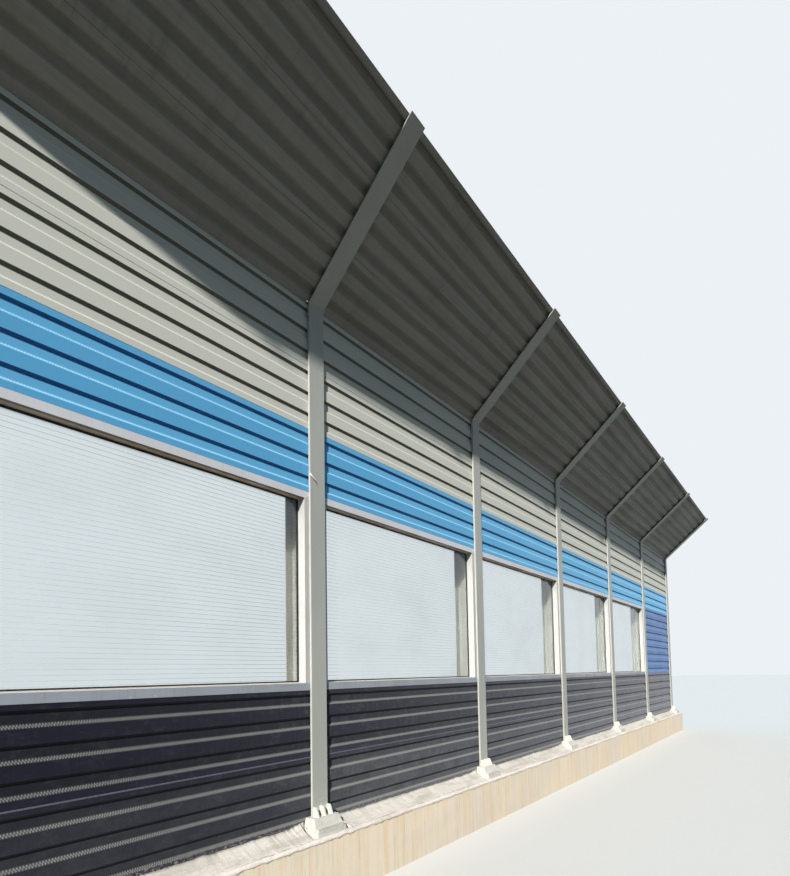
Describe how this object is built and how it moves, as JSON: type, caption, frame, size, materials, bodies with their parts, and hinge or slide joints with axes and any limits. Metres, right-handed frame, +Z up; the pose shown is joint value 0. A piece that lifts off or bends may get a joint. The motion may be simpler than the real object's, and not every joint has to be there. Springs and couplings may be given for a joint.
{
  "type": "highway noise barrier",
  "caption": "Highway noise barrier with cranked H-section posts, louvred dark, blue and grey panels, glazed bays, a solid end bay, an inclined canopy and a concrete plinth.",
  "frame": {"origin": "underside of the concrete plinth, on the posts' centre line, at the middle post", "axes": "+X along the barrier towards the solid bay, -Y towards the road, +Z up"},
  "size_m": [15.6, 1.4926, 5.6254],
  "materials": {
    "concrete": "rough",
    "grout": "rough",
    "post_paint": "satin",
    "dark_panel": "matte",
    "light_blue_panel": "satin",
    "royal_blue_panel": "satin",
    "grey_panel": "satin",
    "canopy_panel": "matte",
    "frame_paint": "satin",
    "glass": "polished",
    "rubber": "matte",
    "sealant": "matte"
  },
  "bodies": {
    "root": {"base_plate_fins": "post_paint", "bedding_mortar": "grout", "canopy_arm_1": "post_paint", "canopy_arm_2": "post_paint", "canopy_arm_3": "post_paint", "canopy_arm_4": "post_paint", "canopy_arm_5": "post_paint", "canopy_arm_6": "post_paint", "canopy_arm_7": "post_paint", "canopy_edge_trims": "canopy_panel", "canopy_panels_inner": "canopy_panel", "canopy_panels_middle": "canopy_panel", "canopy_panels_outer": "canopy_panel", "canopy_retaining_angles": "post_paint", "canopy_seals": "rubber", "concrete_plinth": "concrete", "dark_panels_lower": "dark_panel", "dark_panels_upper": "dark_panel", "foot_caps": "grout", "gasket_rails": "rubber", "gasket_stiles": "rubber", "glass_panes": "glass", "grey_panels_lower": "grey_panel", "grey_panels_upper": "grey_panel", "knee_closures": "grey_panel", "knee_plates": "post_paint", "light_blue_panels": "light_blue_panel", "post_1": "post_paint", "post_2": "post_paint", "post_3": "post_paint", "post_4": "post_paint", "post_5": "post_paint", "post_6": "post_paint", "post_7": "post_paint", "post_base_plates": "post_paint", "post_grout_pads": "grout", "solid_bay_panel_lower": "royal_blue_panel", "solid_bay_panel_middle": "royal_blue_panel", "solid_bay_panel_upper": "royal_blue_panel", "wall_retaining_angles": "post_paint", "wall_seals": "sealant", "window_heads": "frame_paint", "window_jambs": "frame_paint", "window_sills": "frame_paint"}
  },
  "joints": []
}
